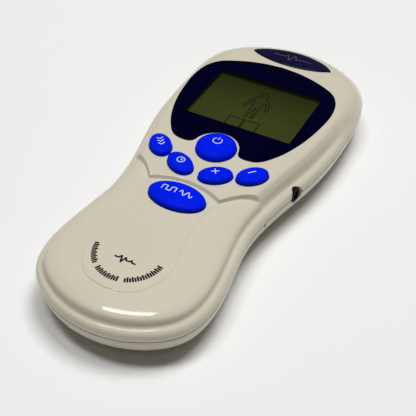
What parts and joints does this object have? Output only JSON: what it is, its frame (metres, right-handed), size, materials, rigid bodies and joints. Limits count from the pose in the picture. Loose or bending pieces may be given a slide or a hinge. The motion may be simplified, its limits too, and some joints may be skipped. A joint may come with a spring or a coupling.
{
  "type": "hand-held nerve stimulation unit",
  "caption": "Hand-held nerve stimulation unit: waisted two-part case, tinted display window, domed oval keys, side and end sockets, hinged battery door.",
  "frame": {"origin": "middle of the footprint, on the plane the back rests on", "axes": "+Z out of the key face, +Y towards the display end, +X towards the side jack"},
  "size_m": [0.069, 0.1564, 0.0221],
  "materials": {
    "case": "glossy moulded ABS",
    "lens": "glossy tinted window",
    "badge": "glossy",
    "key": "smooth satin",
    "carbon": "matt",
    "silicone": "translucent matt",
    "foam": "soft foam",
    "label": "printed film",
    "lcd": "polarised glass",
    "lcd_rear": "polarised glass",
    "zebra": "banded",
    "white_plastic": "moulded",
    "cell": "printed sleeve",
    "steel": "zinc plated",
    "nickel": "nickel plated",
    "black_plastic": "moulded",
    "board": "solder mask",
    "gold": "gold flash",
    "iron": "laminated",
    "copper": "enamelled wire",
    "capacitor": "sleeved can"
  },
  "bodies": {
    "case": {"upper_case": "case", "lower_case": "case", "display_lens": "lens", "badge_plate": "badge", "keypad_mat": "silicone", "lcd_front_glass": "lcd", "lcd_rear_glass": "lcd_rear", "zebra_strip": "zebra", "lcd_frame": "white_plastic", "cell_left": "cell", "cell_middle": "cell", "cell_right": "cell", "cell_springs": "steel", "cell_plates": "nickel", "side_jack": "black_plastic", "output_jack_a": "black_plastic", "output_jack_b": "black_plastic", "jack_leaves": "nickel", "case_screws": "steel", "board_screws": "steel", "main_board": "board", "contact_pads": "gold", "transformer_core": "iron", "transformer_bobbin": "black_plastic", "transformer_winding": "copper", "capacitors": "capacitor", "transistors": "black_plastic", "processor": "black_plastic", "processor_leads": "nickel", "crystal": "nickel", "resistors": "black_plastic", "buzzer": "black_plastic"},
    "on_off_key": {"on_off_key": "key", "on_off_pill": "carbon"},
    "mode_key": {"mode_key": "key", "mode_pill": "carbon"},
    "time_key": {"time_key": "key", "time_pill": "carbon"},
    "strong_key": {"strong_key": "key", "strong_pill": "carbon"},
    "channel_key": {"channel_key": "key", "channel_pill": "carbon"},
    "weak_key": {"weak_key": "key", "weak_pill": "carbon"},
    "battery_door": {"battery_door": "case", "door_foam": "foam", "rating_label": "label"}
  },
  "joints": [
    {"name": "on_off_press", "type": "slide", "parent": "case", "child": "on_off_key", "axis": [0, 0, -1], "range_m": [0, 0.0008], "stiffness_N_per_m": 300},
    {"name": "mode_press", "type": "slide", "parent": "case", "child": "mode_key", "axis": [0, 0, -1], "range_m": [0, 0.0008], "stiffness_N_per_m": 300},
    {"name": "time_press", "type": "slide", "parent": "case", "child": "time_key", "axis": [0, 0, -1], "range_m": [0, 0.0008], "stiffness_N_per_m": 300},
    {"name": "strong_press", "type": "slide", "parent": "case", "child": "strong_key", "axis": [0, 0, -1], "range_m": [0, 0.0008], "stiffness_N_per_m": 300},
    {"name": "channel_press", "type": "slide", "parent": "case", "child": "channel_key", "axis": [0, 0, -1], "range_m": [0, 0.0008], "stiffness_N_per_m": 300},
    {"name": "weak_press", "type": "slide", "parent": "case", "child": "weak_key", "axis": [0, 0, -1], "range_m": [0, 0.0008], "stiffness_N_per_m": 300},
    {"name": "door_hinge", "type": "hinge", "parent": "case", "child": "battery_door", "pos_m": [0, -0.0656, 0.0002], "axis": [-1, 0, 0], "range_deg": [0, 70]}
  ]
}
